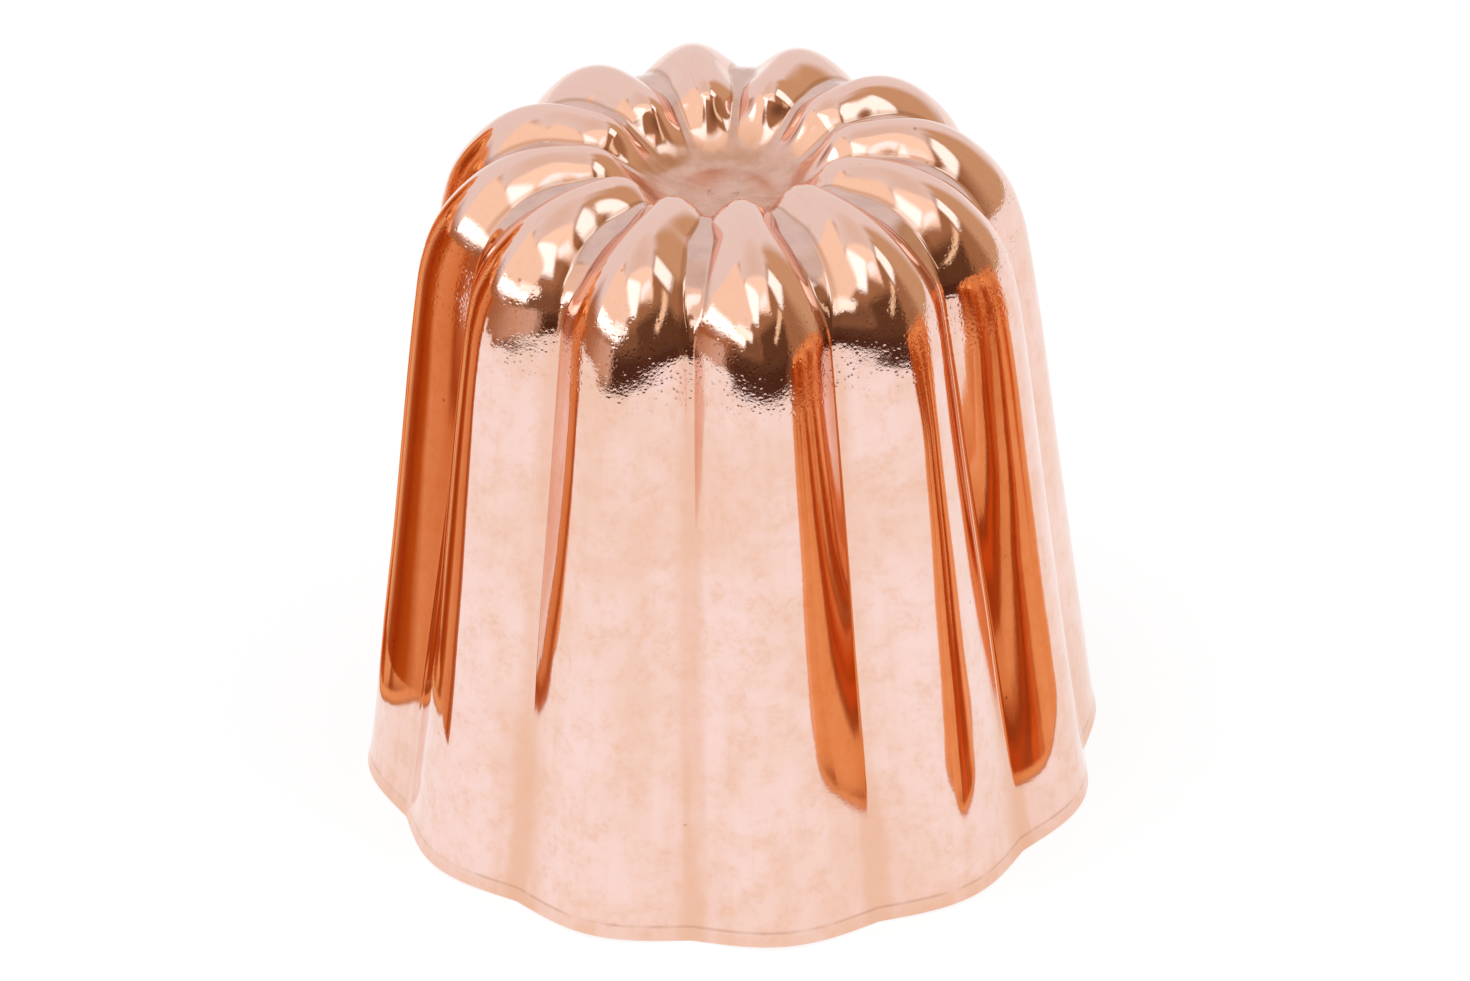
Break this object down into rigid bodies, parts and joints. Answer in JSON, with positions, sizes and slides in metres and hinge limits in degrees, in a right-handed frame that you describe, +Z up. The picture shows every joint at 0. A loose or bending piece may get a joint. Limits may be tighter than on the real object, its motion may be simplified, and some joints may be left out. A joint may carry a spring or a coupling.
{
  "type": "canele mould",
  "caption": "Small fluted copper baking mould, flared towards its mouth, with rounded lobes, a dished closed end and a tinned inside. It stands mouth down on its flat rim.",
  "frame": {"origin": "centre of the plane that the rim's edge lies in", "axes": "+Z up the axis from the mouth to the closed end; the middle of one lobe lies on +X"},
  "size_m": [0.055, 0.055, 0.0506],
  "materials": {
    "copper": "polished drawn copper with faint smudges, wiping marks and mottling",
    "tin": "hot-wiped tin, satin, with wipe streaks"
  },
  "bodies": {
    "root": {"copper_shell": "copper", "tin_lining": "tin"}
  },
  "joints": []
}
